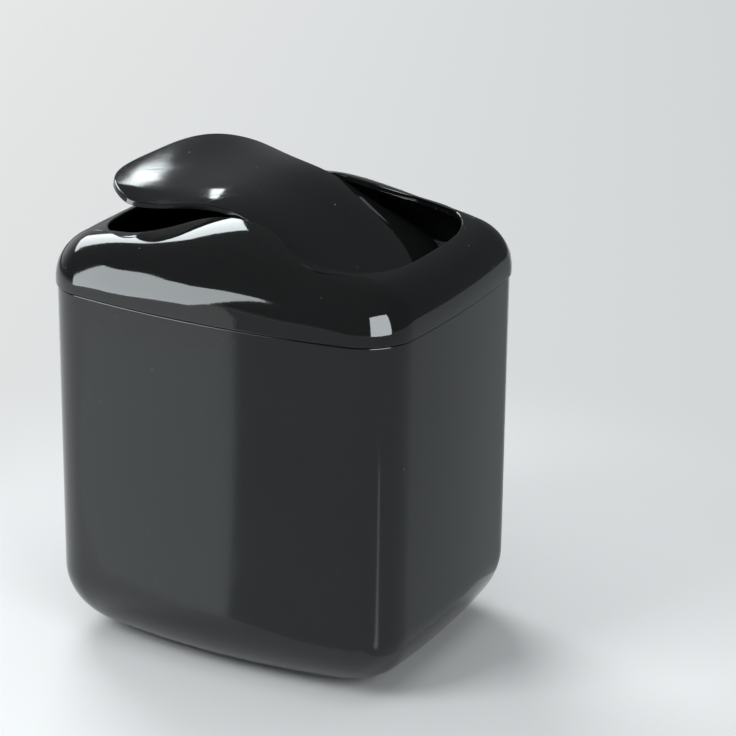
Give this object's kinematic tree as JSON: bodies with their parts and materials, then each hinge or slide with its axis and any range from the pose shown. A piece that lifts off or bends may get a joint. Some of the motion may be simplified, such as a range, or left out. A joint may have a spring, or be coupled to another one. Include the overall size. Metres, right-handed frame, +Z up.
{
  "type": "countertop trash can with swing lid",
  "caption": "Small round-cornered waste bin with a lift-off lid and a see-saw flap that tips either way and swings back level over the mouth.",
  "frame": {"origin": "on the table under the middle of the can", "axes": "+Z up, +X along the wide faces towards the lowered end of the flap, +Y to the back; the flap's hinge axis runs along Y"},
  "size_m": [0.1514, 0.125, 0.1821],
  "materials": {
    "can_plastic": "semi-gloss black moulded plastic",
    "lid_plastic": "polished black moulded plastic",
    "pin_steel": "turned steel",
    "pad_rubber": "matte black rubber"
  },
  "bodies": {
    "can": {"can_body": "can_plastic", "foot_pad_front_left": "pad_rubber", "foot_pad_front_right": "pad_rubber", "foot_pad_rear_left": "pad_rubber", "foot_pad_rear_right": "pad_rubber"},
    "lid": {"lid_cover": "lid_plastic"},
    "flap": {"swing_flap": "lid_plastic", "pivot_pin_front": "pin_steel", "pivot_pin_rear": "pin_steel"}
  },
  "joints": [
    {"name": "lid_lift", "type": "slide", "parent": "can", "child": "lid", "axis": [0, 0, 1], "range_m": [0, 0.09]},
    {"name": "flap_swing", "type": "hinge", "parent": "lid", "child": "flap", "pos_m": [0, 0, 0.168], "axis": [0, 1, 0], "range_deg": [-89.4, 50.6]}
  ]
}
